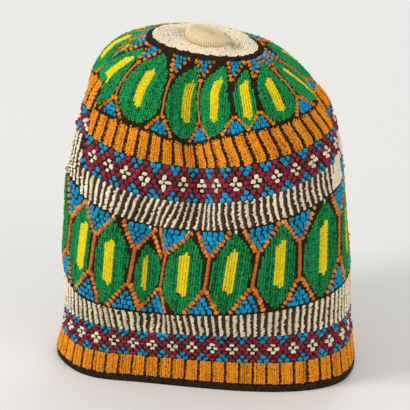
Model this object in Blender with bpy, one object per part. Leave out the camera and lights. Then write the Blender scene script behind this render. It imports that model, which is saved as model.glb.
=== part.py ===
"""A soft stitched cap that stands on its hem, pressed a little flat from front to back.

Metres, +Z up. The origin is on the floor in the middle of the cap's box. The front faces -Y.
The cap is one skin, drawn as rings of cloth from the hem up to the crown. Each ring is a squarish oval.
Creases and tucks then push the skin inward, and every ring keeps its stitches evenly spaced.
Levels number the lines between the stitched bands, so a band runs from one level to the next.
"""

import math

import bmesh
import bpy
import numpy as np

MM = 0.001

# cloth
WALL = 2.4 * MM
BINDING = 3.0 * MM
DISC_WALL = 2.6 * MM
GAP = 0.3 * MM

# how finely the skin is cut
AROUND = 72
FINE = 1440
NEAR = 0.03

# levels where the pieces meet
HEM_FOOT = 0.0
HEM_TOP = 1.0
RING_OUT = 9.0
RING_IN = 10.0

# the lines between the bands, in millimetres: height where the ring crosses the sides, half its width,
# how deep it is in front of and behind the middle, how far its middle is shifted right, how far its front
# sinks and its back rises, how far its right end sinks, and how square the oval is (2 is an ellipse)
RING_COLUMNS = ("name", "level", "height", "half_width", "front", "back", "shift", "slump", "roll", "square")
RINGS = (
    ("hem_foot",      0.0,   0.0, 107.0, 50.0, 60.0,  0.0,  0.0,  0.0, 2.6),
    ("hem_top",       1.0,   5.5, 107.0, 50.0, 60.0,  0.0,  0.0, -0.5, 2.6),
    ("blocks_top",    2.0,  23.0, 103.5, 52.0, 61.0,  1.0,  0.0, -2.0, 2.6),
    ("flowers_top",   3.0,  43.5, 101.5, 57.0, 63.0,  1.5, -1.5, -4.0, 2.5),
    ("leaves_foot",   4.0,  67.0, 101.5, 63.0, 66.0,  0.5,  4.0, -7.0, 2.4),
    ("leaves_top",    5.0, 150.0,  98.5, 70.0, 68.2, -0.5, 19.5,  0.0, 2.3),
    ("stripes_top",   6.0, 168.0,  96.5, 68.0, 67.0, -0.5, 18.5,  0.0, 2.2),
    ("diamonds_top",  7.0, 189.0,  92.0, 64.0, 62.0, -0.5, 15.5,  1.0, 2.2),
    ("shoulder",      8.0, 205.5,  85.0, 58.0, 55.0, -4.0, 11.5,  1.0, 2.1),
    ("crown_middle",  8.5, 227.0,  66.5, 46.0, 44.0, -7.0,  8.0,  2.0, 2.1),
    ("ring_outer",    9.0, 238.0,  40.0, 31.0, 31.0,  0.0,  0.0,  4.0, 2.1),
    ("ring_inner",   10.0, 240.0,  36.5, 27.0, 27.0,  0.0,  0.0,  4.0, 2.1),
)

# creases, tucks and bulges: where round the ring (degrees, 0 at the front, + to the right), half its width,
# how far it pushes in (a bulge is negative) and down, and the levels where it starts, is full, and ends
FOLD_COLUMNS = ("name", "way", "width", "depth", "sag", "low", "full_from", "full_to", "high")
FOLDS = (
    ("front_crease",   4.0, 13.0, 13.0,  6.0,  4.2,  5.5, 8.5, 9.0),
    ("shoulder_sag",   2.0, 20.0,  0.0,  6.0,  7.0,  8.0, 8.0, 9.0),
    ("left_crease",  -18.0, 13.0, 12.0,  6.0,  2.7,  4.1, 4.9, 6.5),
    ("left_corner",  -48.0, 26.0, -6.0,  0.0, -1.0,  0.0, 1.5, 3.2),
    ("left_lift",    -80.0, 24.0,  0.0, -16.0, 3.1,  4.0, 4.0, 4.9),
    ("left_tuck",    -86.0, 18.0, 17.0,  0.0,  4.0,  6.0, 8.4, 9.0),
    ("right_tuck",    98.0, 15.0, 10.0,  0.0,  4.0,  5.5, 7.5, 9.0),
    ("back_crease",  168.0, 17.0,  9.0,  3.0,  4.4,  6.2, 8.0, 9.0),
    ("back_dent",   -142.0, 26.0,  6.0,  2.0,  2.2,  4.2, 5.0, 7.0),
    ("back_bulge",   128.0, 30.0, -3.0,  0.0,  3.0,  4.6, 5.4, 7.5),
)

# the rows of each piece, counted from one level to the next
WALL_ROWS = ((1.0, 2.0, 2), (2.0, 3.0, 2), (3.0, 4.0, 2), (4.0, 5.0, 7), (5.0, 6.0, 2), (6.0, 7.0, 2), (7.0, 8.0, 2))
CROWN_ROWS = ((8.0, 9.0, 8),)

# the disc is worked in circles and has buckled: left edge up, a dimple on each side of the button
DISC_CIRCLES = 7
BUTTON_SEAT = 0.46
DIMPLE_COLUMNS = ("name", "way", "out", "spread", "depth")
DIMPLES = (
    ("left_lift",  -95.0, 0.80, 0.35, -2.0),
    ("left_dent",  -60.0, 0.72, 0.22,  1.6),
    ("right_dent",  70.0, 0.74, 0.24,  2.0),
)

# the button, a wound drum
BUTTON_RADIUS = 14.5 * MM
BUTTON_HEIGHT = 7.0 * MM
BUTTON_SIDES = 28

COLOURS = {
    "hem_binding": (0.020, 0.016, 0.012),
    "side_wall": (0.300, 0.150, 0.040),
    "crown_panel": (0.020, 0.220, 0.070),
    "crown_ring": (0.020, 0.016, 0.012),
    "crown_disc": (0.760, 0.650, 0.460),
    "crown_button": (0.720, 0.560, 0.300),
}
YARN_ROUGHNESS = 0.85


def columns(names, rows):
    """A table as one array for each named column."""
    return {name: np.array([row[i] for row in rows]) for i, name in enumerate(names)}


RING_TABLE = columns(RING_COLUMNS, RINGS)


def smooth_through(places, values, at):
    """A smooth curve through a table's values that never overshoots them."""
    run = np.diff(places)
    rise = np.diff(values) / run
    slope = np.zeros(len(places))
    slope[0], slope[-1] = rise[0], rise[-1]
    for i in range(1, len(places) - 1):
        if rise[i - 1] * rise[i] > 0:
            left, right = 2 * run[i] + run[i - 1], run[i] + 2 * run[i - 1]
            slope[i] = (left + right) / (left / rise[i - 1] + right / rise[i])
    i = int(np.clip(np.searchsorted(places, at) - 1, 0, len(run) - 1))
    t = (at - places[i]) / run[i]
    return ((1 + 2 * t) * (1 - t) ** 2 * values[i] + t * (1 - t) ** 2 * run[i] * slope[i]
            + t * t * (3 - 2 * t) * values[i + 1] + t * t * (t - 1) * run[i] * slope[i + 1])


def ramp(x):
    """0 to 1 with soft ends."""
    x = min(max(x, 0.0), 1.0)
    return x * x * (3 - 2 * x)


def lengths(*axes):
    """How far along a run of points each point lies."""
    steps = np.sqrt(sum(np.diff(axis) ** 2 for axis in axes))
    return np.concatenate([[0.0], np.cumsum(steps)])


def ring(level):
    """One ring of the skin as closely spaced points, from the back, round by the left and the front."""
    row = {name: smooth_through(RING_TABLE["level"], RING_TABLE[name], level) for name in RING_COLUMNS[2:]}
    turn = np.linspace(-1.5 * math.pi, 0.5 * math.pi, 4 * FINE + 1)
    across, along = np.cos(turn), np.sin(turn)
    power = 2 / row["square"]
    x = row["half_width"] * np.sign(across) * np.abs(across) ** power
    depth = np.where(along < 0, row["front"], row["back"])
    y = depth * np.sign(along) * np.abs(along) ** power

    # even steps, with half of them on each side of the front
    far = lengths(x, y)
    front = np.interp(-math.pi / 2, turn, far)
    way = np.linspace(-180.0, 180.0, FINE + 1)
    even = np.interp(way, [-180.0, 0.0, 180.0], [0.0, front, far[-1]])
    x, y, turn = (np.interp(even, far, axis) for axis in (x, y, turn))
    z = row["height"] + row["slump"] * np.sin(turn) * np.abs(np.sin(turn)) - row["roll"] * x / row["half_width"]

    # the outward direction in plan
    dx, dy = np.gradient(x), np.gradient(y)
    dx[0] = dx[-1] = (x[1] - x[-2]) / 2
    dy[0] = dy[-1] = (y[1] - y[-2]) / 2
    size = np.hypot(dx, dy)
    out_x, out_y = dy / size, -dx / size

    push = np.zeros(FINE + 1)
    for values in FOLDS:
        fold = dict(zip(FOLD_COLUMNS, values))
        rising = ramp((level - fold["low"]) / (fold["full_from"] - fold["low"]))
        share = rising * ramp((fold["high"] - level) / (fold["high"] - fold["full_to"]))
        apart = ((way - fold["way"] + 180.0) % 360.0 - 180.0) / 360.0 * far[-1]
        bell = share * np.exp(-(apart / fold["width"]) ** 2)
        push += fold["depth"] * bell
        z = z - fold["sag"] * bell
    x = x + row["shift"] - out_x * push
    y = y - out_y * push
    return x * MM, y * MM, z * MM


def ring_points(level, count):
    """Points evenly spaced along the folded ring. The first is at the back."""
    x, y, z = ring(level)
    far = lengths(x, y, z)
    front = far[FINE // 2]
    even = (front + (np.arange(count) / count - 0.5) * far[-1]) % far[-1]
    return np.stack([np.interp(even, far, axis) for axis in (x, y, z)], axis=-1)


def ring_and_directions(level):
    """A ring's points, and the outward and downward directions of the skin there."""
    points = ring_points(level, AROUND)
    around = np.roll(points, -1, axis=0) - np.roll(points, 1, axis=0)
    lower, upper = max(level - NEAR, HEM_FOOT), min(level + NEAR, RING_IN)
    outward = np.cross(around, ring_points(upper, AROUND) - ring_points(lower, AROUND))
    if level == RING_IN:
        outward = np.tile([0.0, 0.0, 1.0], (AROUND, 1))
    outward = outward / np.linalg.norm(outward, axis=-1, keepdims=True)
    downward = np.cross(around, outward)
    return points, outward, downward / np.linalg.norm(downward, axis=-1, keepdims=True)


def steps_between(spans):
    """The levels of a piece's rows."""
    levels = [spans[0][0]]
    for low, high, count in spans:
        levels += [low + (high - low) * (i + 1) / count for i in range(count)]
    return levels


def add_object(name, points, faces):
    """One closed, smooth-shaded body with its own material."""
    mesh = bpy.data.meshes.new(name)
    mesh.from_pydata([tuple(point) for point in points], [], faces)
    body = bmesh.new()
    body.from_mesh(mesh)
    bmesh.ops.recalc_face_normals(body, faces=body.faces)
    bmesh.ops.triangulate(body, faces=body.faces)
    body.to_mesh(mesh)
    body.free()
    mesh.shade_smooth()
    mesh.set_sharp_from_angle(angle=math.radians(50))
    material = bpy.data.materials.new(name)
    material.use_nodes = True
    shader = material.node_tree.nodes["Principled BSDF"]
    shader.inputs["Base Color"].default_value = (*COLOURS[name], 1.0)
    shader.inputs["Roughness"].default_value = YARN_ROUGHNESS
    shader.inputs["Metallic"].default_value = 0.0
    mesh.materials.append(material)
    placed = bpy.data.objects.new(name, mesh)
    bpy.context.scene.collection.objects.link(placed)
    return placed


def tube_faces(first, second, count):
    """Quads between two rings of points, given by the index of the first point of each."""
    return [(first + i, first + (i + 1) % count, second + (i + 1) % count, second + i) for i in range(count)]


def add_skin(name, levels, wall, gap_above=0.0):
    """A band of cloth: its outer skin, its inner skin and the two edges between them."""
    outer, inner = [], []
    for level in levels:
        points, outward, downward = ring_and_directions(level)
        if level == levels[-1]:
            points = points + downward * gap_above
        outer.append(points)
        inner.append(points - outward * wall)
    if levels[0] == HEM_FOOT:
        inner[0][:, 2] = outer[0][:, 2]
    rows = len(levels)
    inside = rows * AROUND
    faces = []
    for row in range(rows - 1):
        faces += tube_faces(row * AROUND, (row + 1) * AROUND, AROUND)
        faces += tube_faces(inside + (row + 1) * AROUND, inside + row * AROUND, AROUND)
    faces += tube_faces(inside, 0, AROUND)
    faces += tube_faces((rows - 1) * AROUND, inside + (rows - 1) * AROUND, AROUND)
    return add_object(name, np.concatenate(outer + inner), faces)


def add_hem_binding():
    """The bound edge, flat underneath where the cap stands."""
    add_skin("hem_binding", [HEM_FOOT, HEM_FOOT + 0.35, HEM_FOOT + 0.7, HEM_TOP], BINDING, GAP)


def add_side_wall():
    add_skin("side_wall", steps_between(WALL_ROWS), WALL, GAP)


def add_crown_panel():
    add_skin("crown_panel", steps_between(CROWN_ROWS), WALL, GAP)


def add_crown_ring():
    add_skin("crown_ring", [RING_OUT, (RING_OUT + RING_IN) / 2, RING_IN], WALL)


def disc_frame():
    """The middle of the disc and the edge that it has inside its ring."""
    edge = ring_points(RING_IN, AROUND)
    middle = edge.mean(axis=0)
    spokes = edge - middle
    size = np.linalg.norm(spokes, axis=-1, keepdims=True)
    return middle, spokes * (size - GAP) / size


def add_crown_disc():
    """The pale disc, flat under the button and buckled round it."""
    middle, spokes = disc_frame()
    way = np.linspace(-180.0, 180.0, AROUND, endpoint=False)
    top = [middle]
    for circle in range(1, DISC_CIRCLES + 1):
        out = circle / DISC_CIRCLES
        for spoke, angle in zip(spokes, way):
            point = middle + spoke * out
            for values in DIMPLES:
                dimple = dict(zip(DIMPLE_COLUMNS, values))
                apart = math.radians(angle - dimple["way"])
                near = (out - dimple["out"]) ** 2 + (1 - math.cos(apart)) * out * dimple["out"]
                fade = ramp((out - BUTTON_SEAT) / 0.2) * ramp((1 - out) / 0.12)
                point = point - np.array([0, 0, dimple["depth"] * MM * fade * math.exp(-near / dimple["spread"] ** 2)])
            top.append(point)
    top = np.array(top)
    under = top - np.array([0, 0, DISC_WALL])
    count = len(top)
    points = np.concatenate([top, under])
    faces = []
    for i in range(AROUND):
        faces.append((0, 1 + i, 1 + (i + 1) % AROUND))
        faces.append((count, count + 1 + (i + 1) % AROUND, count + 1 + i))
    for circle in range(DISC_CIRCLES - 1):
        low, high = 1 + circle * AROUND, 1 + (circle + 1) * AROUND
        faces += tube_faces(low, high, AROUND)
        faces += tube_faces(count + high, count + low, AROUND)
    last = 1 + (DISC_CIRCLES - 1) * AROUND
    faces += tube_faces(last, count + last, AROUND)
    add_object("crown_disc", points, faces)


def add_crown_button():
    """The wound button: a drum with rounded edges and a shallow crown, square to the disc."""
    middle, spokes = disc_frame()
    right, front = spokes[3 * AROUND // 4], spokes[AROUND // 2]
    axis = np.cross(front, right)
    axis /= np.linalg.norm(axis)
    side = right / np.linalg.norm(right)
    ahead = np.cross(axis, side)
    profile = ((0.90, 0.00), (0.99, 0.16), (1.00, 0.45), (0.95, 0.72), (0.80, 0.88), (0.45, 0.97))
    points = []
    for out, up in profile:
        for i in range(BUTTON_SIDES):
            angle = 2 * math.pi * i / BUTTON_SIDES
            spoke = side * math.cos(angle) + ahead * math.sin(angle)
            points.append(middle + spoke * out * BUTTON_RADIUS + axis * (GAP + up * BUTTON_HEIGHT))
    points.append(middle + axis * (GAP + BUTTON_HEIGHT))
    faces = [tuple(reversed(range(BUTTON_SIDES)))]
    for row in range(len(profile) - 1):
        faces += tube_faces(row * BUTTON_SIDES, (row + 1) * BUTTON_SIDES, BUTTON_SIDES)
    last = (len(profile) - 1) * BUTTON_SIDES
    faces += [(last + i, last + (i + 1) % BUTTON_SIDES, len(points) - 1) for i in range(BUTTON_SIDES)]
    add_object("crown_button", points, faces)


def main():
    for old in list(bpy.data.objects):
        bpy.data.objects.remove(old, do_unlink=True)
    add_hem_binding()
    add_side_wall()
    add_crown_panel()
    add_crown_ring()
    add_crown_disc()
    add_crown_button()


main()
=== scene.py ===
"""Sews a soft tall cap: bands of yarn stitches, a bound hem, a wound ring, a pale disc and a button.

Metres, +Z up, the front faces -Y. The cap's surface is worked out from its rings and folds, and every
stitch is a small raised patch of yarn that is set on that surface. A piece holds one colour of yarn.
"""

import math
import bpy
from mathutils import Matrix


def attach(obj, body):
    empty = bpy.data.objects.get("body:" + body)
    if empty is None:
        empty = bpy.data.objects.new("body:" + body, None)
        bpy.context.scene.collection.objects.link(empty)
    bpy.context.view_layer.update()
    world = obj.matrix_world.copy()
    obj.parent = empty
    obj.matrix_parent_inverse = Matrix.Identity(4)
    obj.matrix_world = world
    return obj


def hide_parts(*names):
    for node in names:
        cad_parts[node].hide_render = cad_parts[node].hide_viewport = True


bl_info = {
    "name": "Stitched Cap",
    "version": (1, 0, 0),
    "blender": (4, 5, 0),
    "location": "3D View > Sidebar > Cap",
    "description": "Sews a soft tall cap from bands of yarn stitches and sets it on a studio floor",
    "category": "Object",
}

import bpy
import numpy as np
from bpy.props import FloatProperty, FloatVectorProperty, PointerProperty
from mathutils import Vector

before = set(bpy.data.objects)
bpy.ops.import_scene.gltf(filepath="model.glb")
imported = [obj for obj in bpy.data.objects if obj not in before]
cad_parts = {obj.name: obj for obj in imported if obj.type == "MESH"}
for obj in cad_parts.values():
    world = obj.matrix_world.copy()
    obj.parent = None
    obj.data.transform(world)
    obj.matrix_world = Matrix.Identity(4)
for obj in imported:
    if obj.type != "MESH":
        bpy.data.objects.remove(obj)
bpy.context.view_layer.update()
BODY = "root"
MM = 0.001

# each part of the cap: a slot name, and the nodes that its pieces stand for
PARTS = {
    "hem": ("binding_yarn", ("hem_binding",)),
    "wall": ("wall_yarn", ("side_wall",)),
    "crown": ("crown_yarn", ("crown_panel",)),
    "ring": ("ring_yarn", ("crown_ring",)),
    "disc": ("disc_thread", ("crown_disc",)),
    "button": ("button_thread", ("crown_button",)),
}

# how thick the cloth is, and the gap between pieces that touch
WALL = 2.4 * MM
BINDING = 3.0 * MM
DISC_WALL = 2.6 * MM
GAP = 0.3 * MM

# how finely the surfaces are sampled
FINE = 1440
AROUND = 720
LEVEL_STEPS = 400
DISC_AROUND = 360
DISC_STEPS = 80

# the bands from the hem up, each as its lowest and highest level
HEM = (0.0, 1.0)
LOW_BLOCKS = (1.0, 2.0)
LOW_FLOWERS = (2.0, 3.0)
LOW_STRIPES = (3.0, 4.0)
TALL_LEAVES = (4.0, 5.0)
HIGH_STRIPES = (5.0, 6.0)
HIGH_FLOWERS = (6.0, 7.0)
HIGH_BLOCKS = (7.0, 8.0)
CROWN = (8.0, 9.0)
RING = (9.0, 10.0)

# the lines between the bands, in millimetres: height where the ring crosses the sides, half its width,
# how deep it is in front of and behind the middle, how far its middle is shifted right, how far its front
# sinks and its back rises, how far its right end sinks, and how square the oval is (2 is an ellipse)
RING_COLUMNS = ("name", "level", "height", "half_width", "front", "back", "shift", "slump", "roll", "square")
RINGS = (
    ("hem_foot",      0.0,   0.0, 107.0, 50.0, 60.0,  0.0,  0.0,  0.0, 2.6),
    ("hem_top",       1.0,   5.5, 107.0, 50.0, 60.0,  0.0,  0.0, -0.5, 2.6),
    ("blocks_top",    2.0,  23.0, 103.5, 52.0, 61.0,  1.0,  0.0, -2.0, 2.6),
    ("flowers_top",   3.0,  43.5, 101.5, 57.0, 63.0,  1.5, -1.5, -4.0, 2.5),
    ("leaves_foot",   4.0,  67.0, 101.5, 63.0, 66.0,  0.5,  4.0, -7.0, 2.4),
    ("leaves_top",    5.0, 150.0,  98.5, 70.0, 68.2, -0.5, 19.5,  0.0, 2.3),
    ("stripes_top",   6.0, 168.0,  96.5, 68.0, 67.0, -0.5, 18.5,  0.0, 2.2),
    ("diamonds_top",  7.0, 189.0,  92.0, 64.0, 62.0, -0.5, 15.5,  1.0, 2.2),
    ("shoulder",      8.0, 205.5,  85.0, 58.0, 55.0, -4.0, 11.5,  1.0, 2.1),
    ("crown_middle",  8.5, 227.0,  66.5, 46.0, 44.0, -7.0,  8.0,  2.0, 2.1),
    ("ring_outer",    9.0, 238.0,  40.0, 31.0, 31.0,  0.0,  0.0,  4.0, 2.1),
    ("ring_inner",   10.0, 240.0,  36.5, 27.0, 27.0,  0.0,  0.0,  4.0, 2.1),
)

# creases, tucks and bulges: where round the ring (degrees, 0 at the front, + to the right), half its width,
# how far it pushes in (a bulge is negative) and down, and the levels where it starts, is full, and ends
FOLD_COLUMNS = ("name", "way", "width", "depth", "sag", "low", "full_from", "full_to", "high")
FOLDS = (
    ("front_crease",   4.0, 13.0, 13.0,  6.0,  4.2,  5.5, 8.5, 9.0),
    ("shoulder_sag",   2.0, 20.0,  0.0,  6.0,  7.0,  8.0, 8.0, 9.0),
    ("left_crease",  -18.0, 13.0, 12.0,  6.0,  2.7,  4.1, 4.9, 6.5),
    ("left_corner",  -48.0, 26.0, -6.0,  0.0, -1.0,  0.0, 1.5, 3.2),
    ("left_lift",    -80.0, 24.0,  0.0, -16.0, 3.1,  4.0, 4.0, 4.9),
    ("left_tuck",    -86.0, 18.0, 17.0,  0.0,  4.0,  6.0, 8.4, 9.0),
    ("right_tuck",    98.0, 15.0, 10.0,  0.0,  4.0,  5.5, 7.5, 9.0),
    ("back_crease",  168.0, 17.0,  9.0,  3.0,  4.4,  6.2, 8.0, 9.0),
    ("back_dent",   -142.0, 26.0,  6.0,  2.0,  2.2,  4.2, 5.0, 7.0),
    ("back_bulge",   128.0, 30.0, -3.0,  0.0,  3.0,  4.6, 5.4, 7.5),
)

# how far the stitched rows have slid to the right along the cloth, in millimetres, at some levels
SLIDE_LEVELS = (0.0, 4.0, 5.0, 8.0, 9.0, 10.0)
SLIDES = (0.0, 0.0, 10.0, 10.0, 12.0, 12.0)

# behind the crease at the left shoulder the rows of stitches ride up: between which ways (degrees from the
# front), over how many degrees this starts and fades, between which levels, over how many levels it grows and
# falls, and by how many levels the rows rise
HITCH = {"from_way": -56.0, "start": 3.0, "to_way": -108.0, "fade": 45.0,
         "low": 4.7, "grow": 1.1, "high": 8.6, "fall": 1.4, "rise": 0.85}

# the bare seam at the right where the rounds of stitching meet: its levels, the ways of its edges at the
# lower and the upper one, the turns that it lies between, how finely it is darned, and how much of that is
# kept
SEAM = {"levels": (5.0, 6.1), "left": (73.0, 79.0), "right": (86.0, 94.0), "turns": (0.68, 0.80),
        "grid": (120, 60), "kept": 0.8}

# how the stripes lean near the creases: where most, over how many degrees, and how far to the right of their
# feet their tops are there, in millimetres
LOW_LEAN = {"way": -36.0, "width": 20.0, "most": -6.0}
HIGH_LEAN = {"way": -30.0, "width": 26.0, "most": 10.0}

# repeats round the cap, and the columns of stitches in blocks and leaves
FLOWERS = 38
BLOCKS = 57
STRIPES = 114
BLOCK_COLUMN = 1.5 * MM
WALL_LEAF_COLUMN = 1.85 * MM
CROWN_LEAF_COLUMN = 1.62 * MM

# one flower and the lattice round it, charted: half steps across, rows up from the middle
FLOWER_CHART = {
    "cream": ((0, 1), (0, -1), (1, 0), (-1, 0)),
    "maroon": ((0, 3), (0, -3), (1, 2), (-1, 2), (1, -2), (-1, -2), (2, 1), (-2, 1), (2, -1), (-2, -1),
               (3, 0)),
    "blue": ((3, 2), (3, -2), (2, 3), (-2, 3), (2, -3), (-2, -3)),
}
FLOWER_KNOT = {"cream": 0.94, "maroon": 1.04, "blue": 1.0}
FLOWER_ROWS = 7
FLOWER_STEPS = 6

# leaf outlines: a share of the way up the band, and half the leaf's width as a share of half its field
WALL_OUTLINE = (
    (0.02, 0.10), (0.06, 0.22), (0.15, 0.54), (0.24, 0.80), (0.33, 0.96), (0.42, 0.99), (0.60, 0.98),
    (0.69, 0.86), (0.78, 0.67), (0.866, 0.40), (0.93, 0.17), (0.96, 0.06),
)
CROWN_OUTLINE = (
    (0.02, 0.26), (0.06, 0.47), (0.12, 0.67), (0.22, 0.87), (0.35, 0.97), (0.50, 0.97), (0.65, 0.93),
    (0.75, 0.84), (0.83, 0.66), (0.89, 0.47), (0.94, 0.28), (0.98, 0.10),
)

# the leaves from the left side, by the front, to the right side, in degrees from the front: where the line
# on a leaf's left, its own middle and the line on its right stand at the band's foot and top, how far up the
# band the leaf and its heart reach, how many columns wide the heart is, whether a cord lies on the line at
# its left, and how many degrees its middle bends to the right
LEAF_COLUMNS = ("edge_foot", "edge_top", "core_foot", "core_top", "next_foot", "next_top", "foot", "top",
                "heart_foot", "heart_top", "heart_wide", "corded", "bend")
PLAIN_LEAF = {"foot": 0.0, "top": 1.0, "heart_foot": 0.22, "heart_top": 0.74, "heart_wide": 4.0,
              "corded": 1.0, "bend": 0.0}
WALL_LEAVES = (
    (-74.0, -66.0, -62.0, -57.0, -55.5, -50.0, 0.02, 1.00, 0.26, 0.78, 4.0, 1.0, 0.0),
    (-55.5, -50.0, -44.5, -43.0, -35.5, -30.0, 0.00, 0.98, 0.24, 0.73, 4.0, 1.0, 0.0),
    (-35.5, -30.0, -27.0, -25.5, -21.5, -11.0, 0.10, 0.80, 0.26, 0.66, 2.0, 1.0, 0.0),
    (-21.5, -11.0,  -4.5,  -5.0,   5.0,   7.0, 0.00, 0.97, 0.23, 0.75, 4.0, 1.0, 0.0),
    (  5.0,   7.0,  15.0,  17.5,  25.5,  29.0, 0.00, 0.99, 0.25, 0.77, 4.0, 1.0, 0.0),
    ( 25.5,  29.0,  38.5,  38.0,  49.0,  46.5, 0.02, 0.99, 0.25, 0.78, 4.0, 1.0, 0.0),
    ( 49.0,  46.5,  60.5,  60.5,  71.5,  73.5, 0.00, 0.99, 0.24, 0.78, 4.0, 1.0, 0.0),
)
WALL_LEAF_COUNT = 16
CROWN_LEAVES = (
    (-98.0, -110.0, -88.0, -102.0, -78.0, -90.0, 0.06, 0.92, 0.25, 0.74, 4.0, 1.0, 0.0),
    (-78.0, -90.0, -68.0, -76.0, -54.0, -68.0, 0.02, 0.92, 0.27, 0.76, 4.0, 0.0, 2.0),
    (-54.0, -68.0, -40.2, -52.2, -24.5, -33.7, 0.04, 0.96, 0.22, 0.72, 4.0, 1.0, 3.6),
    (-24.5, -33.7,  -9.0, -15.0,   1.3,  -8.2, 0.04, 0.91, 0.22, 0.72, 4.0, 1.0, 2.6),
    (  1.3,  -8.2,  10.0,  12.5,  23.9,  23.3, 0.02, 0.94, 0.20, 0.77, 4.0, 1.0, 3.0),
    ( 23.9,  23.3,  31.0,  36.0,  37.3,  45.3, 0.02, 0.86, 0.16, 0.70, 4.0, 0.0, 1.0),
    ( 37.3,  45.3,  51.5,  54.5,  66.3,  62.3, 0.02, 0.94, 0.14, 0.66, 4.0, 0.0, 0.0),
    ( 66.3,  62.3,  83.5,  66.5,  97.3,  74.3, 0.02, 0.88, 0.08, 0.66, 3.0, 1.0, 0.0),
    ( 97.3,  74.3, 114.0,  99.0, 124.0, 118.0, 0.02, 0.90, 0.15, 0.66, 3.0, 1.0, 0.0),
)
CROWN_LEAF_COUNT = 15

# the dimples of the buckled disc: where round it (degrees), how far out, how wide and how deep (mm)
DIMPLE_COLUMNS = ("name", "way", "out", "spread", "depth")
DIMPLES = (
    ("left_lift",  -95.0, 0.80, 0.35, -2.0),
    ("left_dent",  -60.0, 0.72, 0.22,  1.6),
    ("right_dent",  70.0, 0.74, 0.24,  2.0),
    ("back_lift",  176.0, 0.84, 0.48, -3.4),
    ("far_right",  128.0, 0.84, 0.26, -2.0),
)
# a brown stain on the disc: how many millimetres it lies to the right of the middle and behind it, how far it
# spreads, and its colour
STAIN = (20.0, 0.0)
STAIN_SPREAD = 6.0 * MM
STAIN_COLOUR = (0.20, 0.085, 0.022, 1.0)
# the rows of thread on the disc as shares of the way in, the share of their stitches that are brown specks,
# and a speck's colour as shares of the disc's
DISC_ROWS = np.arange(0.015, 0.66, 0.043)
SPECKED = 0.07
SPECK_SHARES = (0.42, 0.33, 0.24)

# the button: how far out the disc has no dimples under it, how deep its foot is sunk there, its upright turns
# of thread, how far apart the circles on its top are, how high a thread stands, and its rows of points
BUTTON_SEAT = 0.46
BUTTON_SUNK = 1.0 * MM
BUTTON_WRAPS = 56
BUTTON_CIRCLE = 1.15 * MM
BUTTON_RIDGE = 0.6 * MM
BUTTON_ROWS = 64
BUTTON_AROUND = 336
# its profile as shares of its radius and height, from its foot to its top
BUTTON_PROFILE = (
    (0.90, 0.00), (0.97, 0.08), (0.995, 0.2), (1.00, 0.45), (0.985, 0.6), (0.95, 0.72), (0.88, 0.82),
    (0.80, 0.88), (0.65, 0.93), (0.45, 0.97), (0.25, 0.99), (0.04, 1.00),
)

# how far a patch's edge is sunk in the ground cloth, and how deep the ground lies under the skin
SUNK = 0.35 * MM
GROUND_DEPTH = 0.25 * MM

# how much one stitch differs from the next: its width, length and height as shares, its tilt, how far it lies
# aside and ahead, and how far its points are off in height and in place, as shares
UNEVEN = {"wide": 0.05, "long": 0.06, "high": 0.12, "tilt": 0.06, "aside": 0.07 * MM, "ahead": 0.06 * MM,
          "rise": 0.10, "place": 0.07}

# the dark lines sewn round the cap: their levels, their widths in millimetres, and how far apart their
# stitches and those of the disc are
RULES = ((1.05, 1.2), (4.0, 1.7), (5.0, 1.7), (7.97, 2.4))
RULE_PITCH = 2.0 * MM
DISC_PITCH = 2.3 * MM

# the turns of yarn in each row of the hem and of the ring, and the levels of the hem's rows
HEM_TURNS = 330
HEM_ROWS = (0.38, 0.74)
RING_TURNS = 150
RING_ROWS = 3

# the finishes: plies of a yarn across and along a stitch, how far apart the wefts of the ground are, and how
# fine each kind of unevenness is, per metre
PLIES_ACROSS = 3.0 / MM
PLIES_ALONG = 1.6 / MM
WEFT = 0.9 * MM
FIBRE_FINE = 2600.0
FLECK_FINE = 900.0
DYE_FINE = 95.0
WEAR_FINE = 22.0
LINT_FINE = 1150.0
STAIN_FINE = 700.0
GROUND_FIBRE_FINE = 1900.0
GROUND_WEAR_FINE = 60.0

# the even light from all round, half the floor's width, and the size of the picture and how far the view is
# shifted up in it, in pixels
AIR_COLOUR = (0.975, 0.97, 0.965, 1.0)
AIR_STRENGTH = 0.62
FLOOR_HALF = 6.0
PHOTO_SIZE = 410.0
PHOTO_SHIFT = 4.0

# how each yarn differs from plain cotton; groove is how dark the painted shade in the low parts of its
# stitches is
BLOCK_LOOK = {"dark": 0.50, "light": 1.4, "groove": 0.4, "speckle": 2.4, "lint": 0.15}
GAP_LOOK = {"light": 1.6, "speckle": 2.4}
CREAM_LOOK = {"dark": 0.45}
LATTICE_LOOK = {"light": 1.25, "uneven": 0.3, "speckle": 2.0}
BLUE_LOOK = {"speckle": 1.8}
LEAF_LOOK = {"uneven": 0.3, "groove": 0.85, "speckle": 2.6, "lint": 0.05}
WALL_LEAF_LOOK = {"dark": 0.14, "light": 1.42, **LEAF_LOOK}
# the crown's leaves are of the same green yarn as the wall's; their lighter range is painted light, for the
# lamp above lights the crown more
LIT_CROWN_LEAF_LOOK = {"dark": 0.20, "light": 1.65, **LEAF_LOOK}
HEART_LOOK = {"dark": 0.6, "light": 1.15, "groove": 0.3}
CHAIN_LOOK = {"light": 1.45, "uneven": 0.4, "speckle": 1.8}
CROWN_CHAIN_LOOK = {"light": 1.1, "uneven": 0.5, "speckle": 2.2}
CORD_LOOK = {"light": 1.0, "speckle": 3.0}
CROWN_CORD_LOOK = {"light": 1.2, "speckle": 1.8}
HEM_LOOK = {"light": 2.0, "uneven": 0.4, "speckle": 1.8}
RING_LOOK = {"light": 1.6, "uneven": 0.4, "speckle": 1.8}
DISC_LOOK = {"dark": 0.70, "light": 1.15}
BUTTON_LOOK = {"dark": 0.5, "light": 1.2, "roughness": 0.68}


def columns(names, rows):
    """A table as one array for each named column."""
    return {name: np.array([row[i] for row in rows]) for i, name in enumerate(names)}


def records(names, rows):
    """A table as one set of named values for each row."""
    return [dict(zip(names, row)) for row in rows]


RING_TABLE = columns(RING_COLUMNS, RINGS)


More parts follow.
